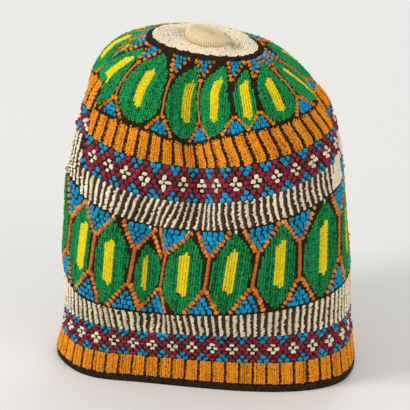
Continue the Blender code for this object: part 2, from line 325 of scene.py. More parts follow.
def smooth_through(places, values, at):
    """A smooth curve through a table's values that never overshoots them."""
    run = np.diff(places)
    rise = np.diff(values) / run
    slope = np.zeros(len(places))
    slope[0], slope[-1] = rise[0], rise[-1]
    for i in range(1, len(places) - 1):
        if rise[i - 1] * rise[i] > 0:
            left, right = 2 * run[i] + run[i - 1], run[i] + 2 * run[i - 1]
            slope[i] = (left + right) / (left / rise[i - 1] + right / rise[i])
    i = int(np.clip(np.searchsorted(places, at) - 1, 0, len(run) - 1))
    t = (at - places[i]) / run[i]
    return ((1 + 2 * t) * (1 - t) ** 2 * values[i] + t * (1 - t) ** 2 * run[i] * slope[i]
            + t * t * (3 - 2 * t) * values[i + 1] + t * t * (t - 1) * run[i] * slope[i + 1])


def ramp(x):
    """0 to 1 with soft ends, for one number or many."""
    x = np.clip(x, 0.0, 1.0)
    return x * x * (3 - 2 * x)


def way_of(turn):
    """A turn in degrees from the front, + to the right."""
    return (turn % 1.0) * 360.0 - 180.0


def grid(*axes):
    """Every combination of some lists, as flat arrays."""
    return [axis.ravel() for axis in np.meshgrid(*axes, indexing="ij")]


def lengths(*axes):
    """How far along a run of points each point lies."""
    steps = np.sqrt(sum(np.diff(axis) ** 2 for axis in axes))
    return np.concatenate([[0.0], np.cumsum(steps)])


def ring(level):
    """One ring of the skin as closely spaced points, from the back, round by the left and the front."""
    row = {name: smooth_through(RING_TABLE["level"], RING_TABLE[name], level) for name in RING_COLUMNS[2:]}
    turn = np.linspace(-1.5 * math.pi, 0.5 * math.pi, 4 * FINE + 1)
    across, along = np.cos(turn), np.sin(turn)
    power = 2 / row["square"]
    x = row["half_width"] * np.sign(across) * np.abs(across) ** power
    depth = np.where(along < 0, row["front"], row["back"])
    y = depth * np.sign(along) * np.abs(along) ** power

    # even steps, with half of them on each side of the front
    far = lengths(x, y)
    front = np.interp(-math.pi / 2, turn, far)
    way = np.linspace(-180.0, 180.0, FINE + 1)
    even = np.interp(way, [-180.0, 0.0, 180.0], [0.0, front, far[-1]])
    x, y, turn = (np.interp(even, far, axis) for axis in (x, y, turn))
    z = row["height"] + row["slump"] * np.sin(turn) * np.abs(np.sin(turn))
    z = z - row["roll"] * x / row["half_width"]

    # the outward direction in plan
    dx, dy = np.gradient(x), np.gradient(y)
    dx[0] = dx[-1] = (x[1] - x[-2]) / 2
    dy[0] = dy[-1] = (y[1] - y[-2]) / 2
    size = np.hypot(dx, dy)
    out_x, out_y = dy / size, -dx / size

    push = np.zeros(FINE + 1)
    for fold in records(FOLD_COLUMNS, FOLDS):
        rising = ramp((level - fold["low"]) / (fold["full_from"] - fold["low"]))
        share = rising * ramp((fold["high"] - level) / (fold["high"] - fold["full_to"]))
        apart = ((way - fold["way"] + 180.0) % 360.0 - 180.0) / 360.0 * far[-1]
        bell = share * np.exp(-(apart / fold["width"]) ** 2)
        push += fold["depth"] * bell
        z = z - fold["sag"] * bell
    x = x + row["shift"] - out_x * push
    y = y - out_y * push
    return x * MM, y * MM, z * MM


def ring_points(level, count):
    """Points evenly spaced along the folded ring. The first is at the back."""
    x, y, z = ring(level)
    far = lengths(x, y, z)
    front = far[FINE // 2]
    even = (front + (np.arange(count) / count - 0.5) * far[-1]) % far[-1]
    return np.stack([np.interp(even, far, axis) for axis in (x, y, z)], axis=-1)


def unit(vectors):
    """The same directions, each of length 1."""
    return vectors / np.maximum(np.linalg.norm(vectors, axis=-1, keepdims=True), 1e-12)


class Sheet:
    """A closed band of surface, sampled in rows of points, so that stitches can be set anywhere on it.

    A place is a turn (0 to 1 round the cap from the back, by the left and the front) and a level.
    """

    def __init__(self, points, levels):
        self.levels = levels
        self.step = levels[1] - levels[0]
        self.points = points
        self.count = points.shape[1]
        side = np.roll(points, -1, axis=1) - np.roll(points, 1, axis=1)
        up = np.gradient(points, axis=0)
        self.side = unit(side)
        self.up = unit(up)
        self.out = unit(np.cross(side, up))
        self.girths = np.linalg.norm(np.roll(points, -1, axis=1) - points, axis=-1).sum(axis=1)
        rises = np.linalg.norm(np.diff(points, axis=0), axis=-1)
        self.climbs = np.concatenate([np.zeros((1, self.count)), np.cumsum(rises, axis=0)])

    def read(self, field, turn, level):
        """A field's value between its four nearest samples."""
        row = np.clip((level - self.levels[0]) / self.step, 0, len(self.levels) - 1.001)
        low = row.astype(int)
        up = (row - low)[..., None]
        column = (turn % 1.0) * self.count
        left = np.floor(column).astype(int)
        right_share = (column - left)[..., None]
        left, right = left % self.count, (left + 1) % self.count
        lower = field[low, left] * (1 - right_share) + field[low, right] * right_share
        upper = field[low + 1, left] * (1 - right_share) + field[low + 1, right] * right_share
        return lower * (1 - up) + upper * up

    def girth(self, level):
        """How long the ring is at a level."""
        return np.interp(level, self.levels, self.girths)

    def climb(self, turn, band, share):
        """The level that lies a share of the way up a band, measured along the cloth."""
        first, last = (int(round((level - self.levels[0]) / self.step)) for level in band)
        column = np.rint((turn % 1.0) * self.count).astype(int) % self.count
        climbs = self.climbs[first:last + 1, column]
        goal = climbs[0] + share * (climbs[-1] - climbs[0])
        row = np.clip((climbs <= goal).sum(axis=0) - 1, 0, last - first - 1)
        here = np.arange(len(goal))
        lower, upper = climbs[row, here], climbs[row + 1, here]
        return self.levels[first + row] + (goal - lower) / np.maximum(upper - lower, 1e-9) * self.step

    def slid(self, turn, level):
        """A turn after the rows of stitches have slid along the cloth."""
        return turn + np.interp(level, SLIDE_LEVELS, SLIDES) * MM / self.girth(level)


def cap_sheet():
    levels = np.linspace(HEM[0], RING[1], LEVEL_STEPS + 1)
    return Sheet(np.array([ring_points(level, AROUND) for level in levels]), levels)


CAP = cap_sheet()


class Spots:
    """Many stitches of one yarn: where each sits, and its width, length, height and tilt."""

    FIELDS = ("turn", "level", "wide", "long", "high", "tilt", "tone")

    def __init__(self):
        self.parts = {name: [] for name in self.FIELDS}

    def add(self, turn, level, wide, long, high, tilt=0.0, tone=0.0):
        given = np.broadcast_arrays(turn, level, wide, long, high, tilt, tone)
        for name, values in zip(self.FIELDS, given):
            self.parts[name].append(np.asarray(values, float).ravel())

    def joined(self):
        return {name: np.concatenate(values) for name, values in self.parts.items()}


def patch(across, along, height):
    """A raised patch: the places of its points from -1 to 1 and the quads between them."""
    p, q = np.meshgrid(across, along)
    places = np.stack([p.ravel(), q.ravel(), height(p, q).ravel()], axis=-1)
    wide = len(across)
    quads = []
    for row in range(len(along) - 1):
        for column in range(wide - 1):
            first = row * wide + column
            quads.append((first, first + 1, first + wide + 1, first + wide))
    return places, np.array(quads)


def stitch_patch():
    """One short stitch, a rounded ridge with lower, narrower ends."""
    places, quads = patch((-1.0, 0.0, 1.0), (-1.0, -0.5, 0.5, 1.0),
                          lambda p, q: (1 - np.abs(p)) * np.where(np.abs(q) > 0.9, 0.2, 1.0))
    places[:, 0] *= np.where(np.abs(places[:, 1]) > 0.9, 0.6, 1.0)
    return places, quads


def knot_patch():
    """One knot, a round lump of two turns of yarn with a dip between them."""
    steps = (-1.0, -0.55, 0.0, 0.55, 1.0)

    def height(p, q):
        edge = np.maximum(np.abs(p), np.abs(q))
        lobe = np.where(np.abs(p) > 0.3, 1.0, 0.45) - 0.25 * np.abs(q)
        return np.where(edge > 0.9, 0.0, lobe)

    places, quads = patch(steps, steps, height)
    far = np.hypot(places[:, 0], places[:, 1])
    shrink = np.where(far > 1.01, 1.04 / np.maximum(far, 1e-6), 1.0)
    places[:, :2] *= shrink[:, None]
    return places, quads


STITCH = stitch_patch()
KNOT = knot_patch()
KNOTTED = {"template": KNOT, "loose": 2.2, "rough": 2.0}


def mesh_object(name, points, faces, finish, part, fields=None):
    """One piece from arrays: its mesh, its yarn, the body it rides on and the nodes it stands for."""
    mesh = bpy.data.meshes.new(name)
    count, size = faces.shape
    mesh.vertices.add(len(points))
    mesh.vertices.foreach_set("co", np.asarray(points, np.float32).ravel())
    mesh.loops.add(faces.size)
    mesh.loops.foreach_set("vertex_index", faces.astype(np.int32).ravel())
    mesh.polygons.add(count)
    mesh.polygons.foreach_set("loop_start", np.arange(0, faces.size, size, dtype=np.int32))
    mesh.polygons.foreach_set("loop_total", np.full(count, size, dtype=np.int32))
    mesh.update(calc_edges=True)
    mesh.validate()
    mesh.shade_smooth()
    for field, values in (fields or {}).items():
        kind, channel = ("FLOAT", "value") if values.ndim == 1 else ("FLOAT_VECTOR", "vector")
        made = mesh.attributes.new(field, kind, "POINT")
        made.data.foreach_set(channel, values.astype(np.float32).ravel())
    mesh.materials.append(finish)
    placed = bpy.data.objects.new(name, mesh)
    bpy.context.scene.collection.objects.link(placed)
    slot, replaced = PARTS[part]
    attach(placed, BODY)
    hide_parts(*replaced)
    return placed


def sew(name, spots, colour, part, seed, look=None, template=STITCH, sheet=CAP, loose=1.0, rough=1.0):
    """Sews one colour: a patch of yarn at every spot, each a little different from the next."""
    chance = np.random.default_rng(seed)
    spot = spots.joined()
    count = len(spot["turn"])
    places, quads = template

    def off(name, rate, size):
        """How far some values of one kind are off, drawn by chance."""
        return UNEVEN[name] * rate * chance.standard_normal(size)

    wide = spot["wide"] * (1 + off("wide", loose, count))
    long = spot["long"] * (1 + off("long", loose, count))
    high = spot["high"] * (1 + off("high", loose, count))
    tilt = spot["tilt"] + off("tilt", loose, count)
    turn = spot["turn"] + off("aside", loose, count) / sheet.girth(spot["level"])

    # where each patch lies, and its own directions there
    centre = sheet.read(sheet.points, turn, spot["level"])
    out = unit(sheet.read(sheet.out, turn, spot["level"]))
    side = unit(sheet.read(sheet.side, turn, spot["level"]))
    up = unit(np.cross(out, side))
    centre = centre + up * off("ahead", loose, count)[:, None]
    cosine, sine = np.cos(tilt)[:, None], np.sin(tilt)[:, None]
    across = side * cosine - up * sine
    along = side * sine + up * cosine

    # the patch's points, each a little off its place
    p, q, h = places[:, 0], places[:, 1], places[:, 2]
    shape = (count, len(places))
    rise = h * (high + SUNK)[:, None] * (1 + off("rise", rough, shape)) - SUNK
    aside = (p + off("place", rough, shape)) * wide[:, None] / 2
    ahead = (q + off("place", rough, shape)) * long[:, None] / 2
    points = (centre[:, None, :] + across[:, None, :] * aside[..., None]
              + along[:, None, :] * ahead[..., None] + out[:, None, :] * rise[..., None])
    faces = quads[None, :, :] + (np.arange(count) * len(places))[:, None, None]

    # what the yarn's material reads: the crest, each point's height in its patch, sets the painted shade of
    # the low parts
    tone = np.repeat(spot["tone"] + chance.uniform(-1.0, 1.0, count), len(places))
    thread = np.stack([
        (p[None, :] * wide[:, None] / 2).ravel(),
        (q[None, :] * long[:, None] / 2).ravel(),
        np.repeat(chance.uniform(0.0, 1.0, count), len(places)),
    ], axis=-1)
    fields = {"tone": tone, "thread": thread, "crest": np.tile(h, count)}
    finish = yarn_finish(name + "_yarn", colour, **(look or {}))
    return mesh_object(name, points.reshape(-1, 3), faces.reshape(-1, 4), finish, part, fields)


def ring_faces(rows, around):
    """The quads between rows of points that go all the way round."""
    row, i = grid(np.arange(rows - 1), np.arange(around))
    low, high = row * around, (row + 1) * around
    following = (i + 1) % around
    return np.stack([low + i, low + following, high + following, high + i], -1)


def double_wall(name, outer, inner, finish, part):
    """A closed cloth from its two faces, each given as rows of points from one edge to the other."""
    rows, around = outer.shape[:2]
    faces = ring_faces(rows, around)
    inside, last = rows * around, (rows - 1) * around
    i = np.arange(around)
    following = (i + 1) % around
    first_edge = np.stack([inside + i, inside + following, following, i], -1)
    last_edge = np.stack([last + i, last + following, inside + last + following, inside + last + i], -1)
    points = np.concatenate([outer.reshape(-1, 3), inner.reshape(-1, 3)])
    turned = faces[:, [0, 3, 2, 1]] + inside
    faces = np.concatenate([faces, turned, first_edge, last_edge])
    return mesh_object(name, points, faces, finish, part)


def shell(name, band, wall, rows, around, finish, part):
    """A closed band of cloth that follows the skin a little below it."""
    turn, level = np.meshgrid(np.arange(around) / around, np.linspace(*band, rows + 1))
    centre = CAP.read(CAP.points, turn, level)
    out = unit(CAP.read(CAP.out, turn, level))
    outer, inner = centre - out * GROUND_DEPTH, centre - out * wall
    if band == HEM:
        outer[0, :, 2] = 0.0
        inner[0, :, 2] = 0.0
    return double_wall(name, outer, inner, finish, part)


class Signal:
    """A number that varies over a surface. Ordinary sums with it add the Math nodes they need."""

    def __init__(self, finish, socket):
        self.finish = finish
        self.socket = socket

    def sum(self, operation, *values, clamp=False):
        return self.finish.node("ShaderNodeMath", {"operation": operation, "use_clamp": clamp},
                                dict(enumerate(values)))

    def __add__(self, other):
        return self.sum("ADD", self, other)

    __radd__ = __add__

    def __sub__(self, other):
        return self.sum("SUBTRACT", self, other)

    def __rsub__(self, other):
        return self.sum("SUBTRACT", other, self)

    def __mul__(self, other):
        return self.sum("MULTIPLY", self, other)

    __rmul__ = __mul__

    def __truediv__(self, other):
        return self.sum("DIVIDE", self, other)

    def wave(self):
        return self.sum("SINE", self)

    def size(self):
        return self.sum("ABSOLUTE", self)

    def held(self):
        """The same signal kept between 0 and 1."""
        return self.sum("ADD", self, 0.0, clamp=True)


class Finish:
    """One material and the way its nodes are added."""

    def __init__(self, name, roughness):
        self.material = bpy.data.materials.new(name)
        self.material.use_nodes = True
        self.tree = self.material.node_tree
        self.shader = self.tree.nodes["Principled BSDF"]
        self.shader.inputs["Roughness"].default_value = roughness
        self.shader.inputs["Specular IOR Level"].default_value = 0.12

    def node(self, kind, settings=None, inputs=None, output=0):
        """Adds a node: its settings first, then the values or links of its sockets."""
        made = self.tree.nodes.new(kind)
        for name, value in (settings or {}).items():
            setattr(made, name, value)
        for name, value in (inputs or {}).items():
            self.plug(made.inputs[name], value)
        return Signal(self, made.outputs[output])

    def plug(self, socket, value):
        if isinstance(value, Signal):
            self.tree.links.new(value.socket, socket)
        else:
            socket.default_value = value

    def set(self, name, value):
        self.plug(self.shader.inputs[name], value)

    def field(self, name, output="Fac"):
        return self.node("ShaderNodeAttribute", {"attribute_name": name}, output=output)

    def noise(self, scale, detail=2.0, roughness=0.5):
        """Cloudy noise in the cap's own space, about 0.5 on average. The scale is per metre."""
        place = self.node("ShaderNodeTexCoord", output="Object")
        return self.node("ShaderNodeTexNoise", {"noise_dimensions": "3D"},
                         {"Vector": place, "Scale": scale, "Detail": detail, "Roughness": roughness}, "Fac")

    def parts(self, vector):
        """The three numbers of a vector."""
        apart = self.tree.nodes.new("ShaderNodeSeparateXYZ")
        self.plug(apart.inputs[0], vector)
        return [Signal(self, socket) for socket in apart.outputs]

    def between(self, share, dark, light):
        """A colour between two."""
        return self.node("ShaderNodeMix", {"data_type": "RGBA"}, {0: share, 6: dark, 7: light}, 2)

    def bump(self, height, distance, strength=1.0):
        made = self.node("ShaderNodeBump", {}, {"Height": height, "Distance": distance, "Strength": strength})
        self.set("Normal", made)


def shaded(colour, amount):
    """A colour made darker or lighter by the same share of each channel."""
    return tuple(min(channel * amount, 1.0) for channel in colour) + (1.0,)


def yarn_finish(name, colour, dark=0.30, light=1.30, roughness=0.9, uneven=0.2, groove=0.6, speckle=1.1,
                lint=0.0, stain=None):
    """Twisted cotton: slanting plies along each stitch, loose fibres, and uneven dye and wear.

    dark and light are the darkest and lightest share of the colour. uneven is how much one stitch differs
    from the next, groove how dark the painted shade in the low parts between the crests is, speckle how
    flecked it is, and lint how much the worn fibres show. stain is where a stain lies and how far it spreads.
    """
    finish = Finish(name, roughness)
    across, along, own = finish.parts(finish.field("thread", "Vector"))
    tone = finish.field("tone")
    crest = finish.field("crest")
    ply = ((across * PLIES_ACROSS + along * PLIES_ALONG + own * 9.0) * math.pi).wave()
    fibre = finish.noise(FIBRE_FINE, 3.0, 0.65)
    fleck = finish.noise(FLECK_FINE, 2.0, 0.7)
    dye = finish.noise(DYE_FINE, 3.0)
    wear = finish.noise(WEAR_FINE, 2.0)
    # painted shade: the crest term darkens the low parts of each stitch, knot and button ridge
    share = 0.73 + tone * uneven + (crest - 0.6) * groove + ply * 0.05
    share = share + (fibre - 0.5) * 0.6 + (fleck - 0.5) * speckle + (dye - 0.5) * 0.4 + (wear - 0.5) * 0.25
    dyed = finish.between(share.held(), shaded(colour, dark), shaded(colour, light))
    if lint:
        worn = ((finish.noise(LINT_FINE, 1.0, 0.5) - 0.58) * 7.0).held() * lint
        dyed = finish.between(worn, dyed, shaded([0.35 + 0.5 * channel for channel in colour], 1.0))
    if stain:
        x, y, spread = stain
        place_x, place_y = finish.parts(finish.node("ShaderNodeTexCoord", output="Object"))[:2]
        aside, ahead = (place_x - x) / spread, (place_y - y) / spread
        blots = (finish.noise(STAIN_FINE, 3.0) - 0.34).held()
        near = (1.2 - aside * aside - ahead * ahead).held() * blots * 3.5
        dyed = finish.between(near.held(), dyed, STAIN_COLOUR)
    finish.set("Base Color", dyed)
    finish.set("Roughness", (roughness - 0.08 + fibre * 0.16).held())
    finish.bump(ply * 0.5 + fibre, 0.16 * MM, 0.7)
    return finish.material


def ground_finish(name, colour):
    """Plain tightly woven cloth between and behind the stitches."""
    finish = Finish(name, 0.95)
    z = finish.parts(finish.node("ShaderNodeTexCoord", output="Object"))[2]
    weft = (z * (math.pi / WEFT)).wave().size()
    fibre = finish.noise(GROUND_FIBRE_FINE, 3.0, 0.6)
    wear = finish.noise(GROUND_WEAR_FINE, 2.0)
    share = 0.3 + weft * 0.15 + (fibre - 0.5) * 1.2 + (wear - 0.5) * 0.5
    finish.set("Base Color", finish.between(share.held(), shaded(colour, 0.4), shaded(colour, 1.7)))
    finish.bump(weft * 0.6 + fibre, 0.3 * MM, 0.8)
    return finish.material


def behind_crease(turn):
    """1 behind the crease at the left shoulder and 0 elsewhere, with soft ends."""
    way = way_of(turn)
    return ramp((HITCH["from_way"] - way) / HITCH["start"]) * ramp((way - HITCH["to_way"]) / HITCH["fade"])


def hitched(turn, level):
    """The level of a stitch after the rows have ridden up behind the crease."""
    up = ramp((level - HITCH["low"]) / HITCH["grow"]) * ramp((HITCH["high"] - level) / HITCH["fall"])
    return level + HITCH["rise"] * behind_crease(turn) * up


def in_band(base, beside, share, band):
    """Turns and levels for places beside a column's base line and a share of the way up a band."""
    middle = sum(band) / 2
    level = CAP.climb(CAP.slid(base + beside / CAP.girth(middle), middle), band, share)
    turn = CAP.slid(base + beside / CAP.girth(level), level)
    return turn, hitched(turn, level)


def spacing(base, beside, share, step, band):
    """How far apart two places lie on the cloth that are one step apart up a band."""
    share = np.clip(share, step / 2, 1 - step / 2)
    below = in_band(base, beside, share - step / 2, band)
    above = in_band(base, beside, share + step / 2, band)
    return np.linalg.norm(CAP.read(CAP.points, *above) - CAP.read(CAP.points, *below), axis=-1)


def rise_of(turn, band):
    """How long a band is from its low line to its high line, along the cloth."""
    first, last = (int(round(level / CAP.step)) for level in band)
    column = np.rint((turn % 1.0) * CAP.count).astype(int) % CAP.count
    return CAP.climbs[last, column] - CAP.climbs[first, column]


def on_seam(turn, level):
    """Whether a place lies on the bare seam at the right."""
    low, high = SEAM["levels"]
    share = np.clip((level - low) / (high - low), 0.0, 1.0)
    left, right = (foot + (top - foot) * share for foot, top in (SEAM["left"], SEAM["right"]))
    way = way_of(turn)
    return (level > low) & (level < high) & (way > left) & (way < right)


def off_seam(turn, level, *others):
    """Leaves out the stitches that would cover the bare seam."""
    free = ~on_seam(turn, level)
    return [values[free] for values in np.broadcast_arrays(turn, level, *others)]


def seam(cream):
    """The bare seam where the rounds of stitching meet, darned with short level stitches."""
    turns, levels = SEAM["grid"]
    turn, level = grid(np.linspace(*SEAM["turns"], turns), np.linspace(*SEAM["levels"], levels))
    chosen = on_seam(turn, level)
    chosen &= np.random.default_rng(7).uniform(size=len(turn)) < SEAM["kept"]
    cream.add(turn[chosen], level[chosen], 1.1 * MM, 1.8 * MM, 0.45 * MM, math.pi / 2 + 0.3)


def rule(dark, level, wide):
    """A dark line sewn round the cap at one level."""
    count = int(CAP.girth(level) / RULE_PITCH)
    turn = np.arange(count) / count
    dark.add(turn, hitched(turn, np.full(count, level)), wide * MM, 2.6 * MM, 0.5 * MM, math.pi / 2 - 0.12)


def blocks(orange, dark, band, rows, count):
    """A band of upright blocks, each of a few columns of stitches, with a dark rib between each two."""
    chance = np.random.default_rng(int(band[0] * 10) + 3)
    base = (np.arange(BLOCKS) + 0.5) / BLOCKS
    middle = (count - 1) / 2
    share = (np.arange(rows) + 0.5) / rows
    b, j, r = grid(base, np.arange(count) - middle, share)
    streak = np.repeat(0.8 * chance.standard_normal(BLOCKS * count), rows)
    offset = np.repeat(chance.uniform(-0.35, 0.35, BLOCKS * count), rows) / rows
    wander = np.repeat(0.12 * MM * chance.standard_normal(BLOCKS * count), rows)
    beside = j * BLOCK_COLUMN + wander
    up = np.clip(0.02 + (r + offset) * 0.96, 0.01, 0.99)
    turn, level = in_band(b, beside, up, band)
    long = spacing(b, beside, up, 1 / rows, band) * 1.13
    slant = np.where(np.round(j - middle) % 2 == 0, 0.6, -0.6)
    orange.add(turn, level, BLOCK_COLUMN * 1.2, long, 0.62 * MM, slant, streak)

    # small ends of yarn stick out of the left edge, apart from behind the crease
    b, r = grid(base, share)
    some = chance.uniform(size=len(b)) < 0.6
    b, r = b[some], r[some]
    turn, level = in_band(b, -(middle + 0.8) * BLOCK_COLUMN, 0.02 + r * 0.96, band)
    plain = (behind_crease(turn) < 0.3) | (band == LOW_BLOCKS)
    orange.add(turn[plain], level[plain], 0.6 * MM, 1.5 * MM, 0.4 * MM, math.pi / 2 + 0.3)

    b, r = grid(base - 0.5 / BLOCKS, share)
    turn, level = in_band(b, 0.1 * MM, r, band)
    long = spacing(b, 0.1 * MM, r, 1 / rows, band) * 1.13
    dark.add(turn, level, 1.5 * MM, long, 0.25 * MM, 0.25)


def flowers(kinds, band):
    """A band of small four-petalled flowers in a slanting lattice."""
    base = np.arange(FLOWERS) / FLOWERS
    for kind, spots in kinds.items():
        size = FLOWER_KNOT[kind]
        for step, row in FLOWER_CHART[kind]:
            share = np.full(FLOWERS, (row + FLOWER_ROWS / 2) / FLOWER_ROWS)
            beside = step / FLOWER_STEPS * CAP.girth(sum(band) / 2) / FLOWERS
            turn, level = in_band(base, beside, share, band)
            wide = CAP.girth(level) / FLOWERS / FLOWER_STEPS * 1.56 * size
            long = rise_of(base, band) / FLOWER_ROWS * 1.06 * size
            turn, level, wide, long = off_seam(turn, level, wide, long)
            lean = 0.0 if kind == "cream" else -0.6 * np.sign(step * row)
            spots.add(turn, level, wide, long, 0.8 * MM * size, lean)


def leaning(base, share, lean):
    """How far aside a leaning stripe is at a share of the way up its band."""
    apart = (way_of(base) - lean["way"]) / lean["width"]
    return lean["most"] * MM * np.exp(-apart * apart) * (share - 0.5)


def stripes(cream, dark, band, rows, across, ragged, lean):
    """A band of upright satin stripes. Their ragged edge is the right one at 1 and the left one at -1."""
    chance = np.random.default_rng(int(band[0] * 10) + 5)
    base = (np.arange(STRIPES) + 0.5) / STRIPES
    b, r = grid(base, (np.arange(rows) + 0.5) / rows)
    own = np.repeat(1 + 0.10 * chance.standard_normal(STRIPES), rows)
    wide = across * own * (1 + 0.20 * chance.standard_normal(len(b)))
    beside = ragged * (wide - across) / 2 + leaning(b, r, lean)
    turn, level = in_band(b, beside, r, band)
    long = spacing(b, beside, r, 1 / rows, band) * 1.22
    tone = np.repeat(0.5 * chance.standard_normal(STRIPES), rows)
    turn, level, wide, long, tone = off_seam(turn, level, wide, long, tone)
    cream.add(turn, level, long, wide * 1.05, 0.85 * MM, math.pi / 2 - 0.42, tone)

    # the dark rib between two stripes has longer stitches
    rows = rows // 2
    b, r = grid(base - 0.5 / STRIPES, (np.arange(rows) + 0.5) / rows)
    beside = ragged * 0.25 * MM + leaning(b, r, lean)
    turn, level = in_band(b, beside, r, band)
    long = spacing(b, beside, r, 1 / rows, band) * 1.2
    turn, level, long = off_seam(turn, level, long)
    dark.add(turn, level, 2.3 * MM, long, 0.3 * MM, 0.3)


def full_round(rows, total):
    """A leaf table as columns, with its remaining leaves spread evenly round the hidden side."""
    seen = columns(LEAF_COLUMNS, rows)
    spare = total - len(rows)
    made = {name: np.full(spare, value) for name, value in PLAIN_LEAF.items()}
    for end in ("foot", "top"):
        start = seen["next_" + end][-1]
        pitch = (seen["edge_" + end][0] + 360.0 - start) / spare
        made["edge_" + end] = start + np.arange(spare) * pitch
        made["next_" + end] = made["edge_" + end] + pitch
        made["core_" + end] = made["edge_" + end] + pitch / 2
    return {name: np.concatenate([seen[name], made[name]]) for name in LEAF_COLUMNS}


class Field:
    """One band of leaves: where each leaf's middle and edges run, and what is sewn beside them.

    which picks leaves by number. first, step, foot and top are shares of the way up the band. Widths, lengths
    and places beside a line are in millimetres.
    """

    def __init__(self, rows, total, band):
        self.band = band
        self.leaf = full_round(rows, total)
        self.count = total
        bend = self.leaf["bend"]
        self.bends = {
            "core": bend,
            "edge": (bend + np.roll(bend, 1)) / 2,
            "next": (bend + np.roll(bend, -1)) / 2,
        }

    def line(self, name, which, share):
        """The base turn of a leaf's edge, core or next edge at a share of the way up the band."""
        foot, top = self.leaf[name + "_foot"][which], self.leaf[name + "_top"][which]
        bend = 4 * share * (1 - share) * self.bends[name][which]
        return (foot + (top - foot) * share + bend + 180.0) / 360.0

    def at(self, name, which, beside, share):
        """Turns and levels beside such a line."""
        beside, share = (np.broadcast_to(values, len(which)) for values in (beside, share))
        return in_band(self.line(name, which, share), beside, share, self.band)

    def rise(self, name, which):
        """How long the band is along such a line."""
        return rise_of(self.line(name, which, np.full(len(which), 0.5)), self.band)

    def leaves(self, green, yellow, pitch, rows, outline, room, seed):
        """Leaves in upright columns of stitches, each with a heart of a few columns."""
        chance = np.random.default_rng(seed)
        reach = 13
        k, j, r = grid(np.arange(self.count), np.arange(-reach, reach) + 0.5, np.arange(rows))
        even = np.round(j - 0.5) % 2 == 0
        r = (r + np.where(even, 0.25, 0.75)) / rows
        streak = 0.5 * chance.standard_normal((self.count, 2 * reach))[k, (j + reach).astype(int)]

        # half the field's width on the stitch's side, and how much of it the leaf fills there
        core = self.line("core", k, r)
        left, right = core - self.line("edge", k, r), self.line("next", k, r) - core
        half = np.where(j < 0, left, right) * CAP.girth(CAP.climb(core, self.band, r)) - room * MM
        foot, top = self.leaf["foot"][k], self.leaf["top"][k]
        width = half * np.interp((r - foot) / (top - foot), *zip(*outline), left=-1.0, right=-1.0)
        inside = np.abs(j) * pitch < width + 0.15 * pitch
        k, j, r, streak, even = (values[inside] for values in (k, j, r, streak, even))

        turn, level = self.at("core", k, j * pitch, r)
        long = self.rise("core", k) / rows * 1.2
        slant = np.where(even, 0.62, -0.62)
        outer = np.abs(j) / (self.leaf["heart_wide"][k] / 2)
        step = np.where(j < 0, 0.03, 0.0) + 0.02 * (outer > 0.5)
        above, below = r - self.leaf["heart_foot"][k], self.leaf["heart_top"][k] - r
        in_heart = (outer < 1.0) & (above > step) & (below > step)
        for spots, chosen in ((green, ~in_heart), (yellow, in_heart)):
            spots.add(turn[chosen], level[chosen], pitch * 1.12, long[chosen], 0.75 * MM, slant[chosen],
                      streak[chosen])

    def triangle(self, blue, which, first, step, counts, apart, wide, long):
        """Rows of knots that get shorter, such as 4, 3, 2, 1, centred on the line between two leaves."""
        for row, count in enumerate(counts):
            for i in range(count):
                beside = (i - (count - 1) / 2) * (apart * MM)
                turn, level = self.at("edge", which, beside, first + row * step)
                blue.add(turn, level, wide * MM, long * MM, 0.9 * MM)

    def chain(self, orange, which, start, end, count, wide, long, tilt, sides=(-1.0, 1.0)):
        """A slanting chain of knots, on one side of the line between two leaves or the same on both.

        start and end are each a place beside the line and a share of the way up.
        """
        for side in sides:
            for t in np.arange(count) / (count - 1):
                beside, share = (first + (last - first) * t for first, last in zip(start, end))
                turn, level = self.at("edge", which, side * beside * MM, share)
                orange.add(turn, level, wide * MM, long * MM, 0.95 * MM, side * tilt)

    def cords(self, rust, which, foot, top, wide, count):
        """A thick cord laid upright on the line between two leaves, in overlapping slanting turns."""
        k, r = grid(which, foot + (top - foot) * (np.arange(count) + 0.5) / count)
        turn, level = self.at("edge", k, 0.0, r)
        long = self.rise("edge", k) * (top - foot) / count * 1.5
        rust.add(turn, level, long, wide * MM * 1.15, 0.9 * MM, 1.0)

    def ribs(self, dark, which, foot, top, beside, wide, rows):
        """An upright dark column on each side of the line between two leaves."""
        k, r = grid(which, foot + (top - foot) * (np.arange(rows) + 0.5) / rows)
        long = self.rise("edge", k) * (top - foot) / rows * 1.25
        for offset in (-beside, beside):
            turn, level = self.at("edge", k, offset * MM, r)
            dark.add(turn, level, wide * MM, long, 0.3 * MM, 0.3)


def disc_sheet():
    """The disc's upper face as rows of points from rim to middle, its middle, and the lines to its rim."""
    edge = ring_points(RING[1], DISC_AROUND)
    middle = edge.mean(axis=0)
    spokes = edge - middle
    size = np.linalg.norm(spokes, axis=-1, keepdims=True)
    spokes = spokes * (size - GAP) / size
    way = np.linspace(-180.0, 180.0, DISC_AROUND, endpoint=False)
    rows = []
    levels = np.linspace(0.0, 1.0, DISC_STEPS + 1)
    for level in levels:
        out = 1.0 - level
        fade = ramp((out - BUTTON_SEAT) / 0.2) * ramp((1 - out) / 0.12)
        sink = np.zeros(DISC_AROUND)
        for dimple in records(DIMPLE_COLUMNS, DIMPLES):
            apart = np.radians(way - dimple["way"])
            near = (out - dimple["out"]) ** 2 + (1 - np.cos(apart)) * out * dimple["out"]
            sink += dimple["depth"] * MM * fade * np.exp(-near / dimple["spread"] ** 2)
        points = middle + spokes * max(out, 0.004)
        points[:, 2] -= sink
        rows.append(points)
    return Sheet(np.array(rows), levels), middle, spokes


def colour_prop(name, description, default):
    return FloatVectorProperty(name=name, description=description, default=default, size=3,
                               subtype="COLOR", min=0.0, max=1.0)


def length_prop(name, description, default):
    return FloatProperty(name=name, description=description, default=default, min=0.0, precision=4,
                         unit="LENGTH")


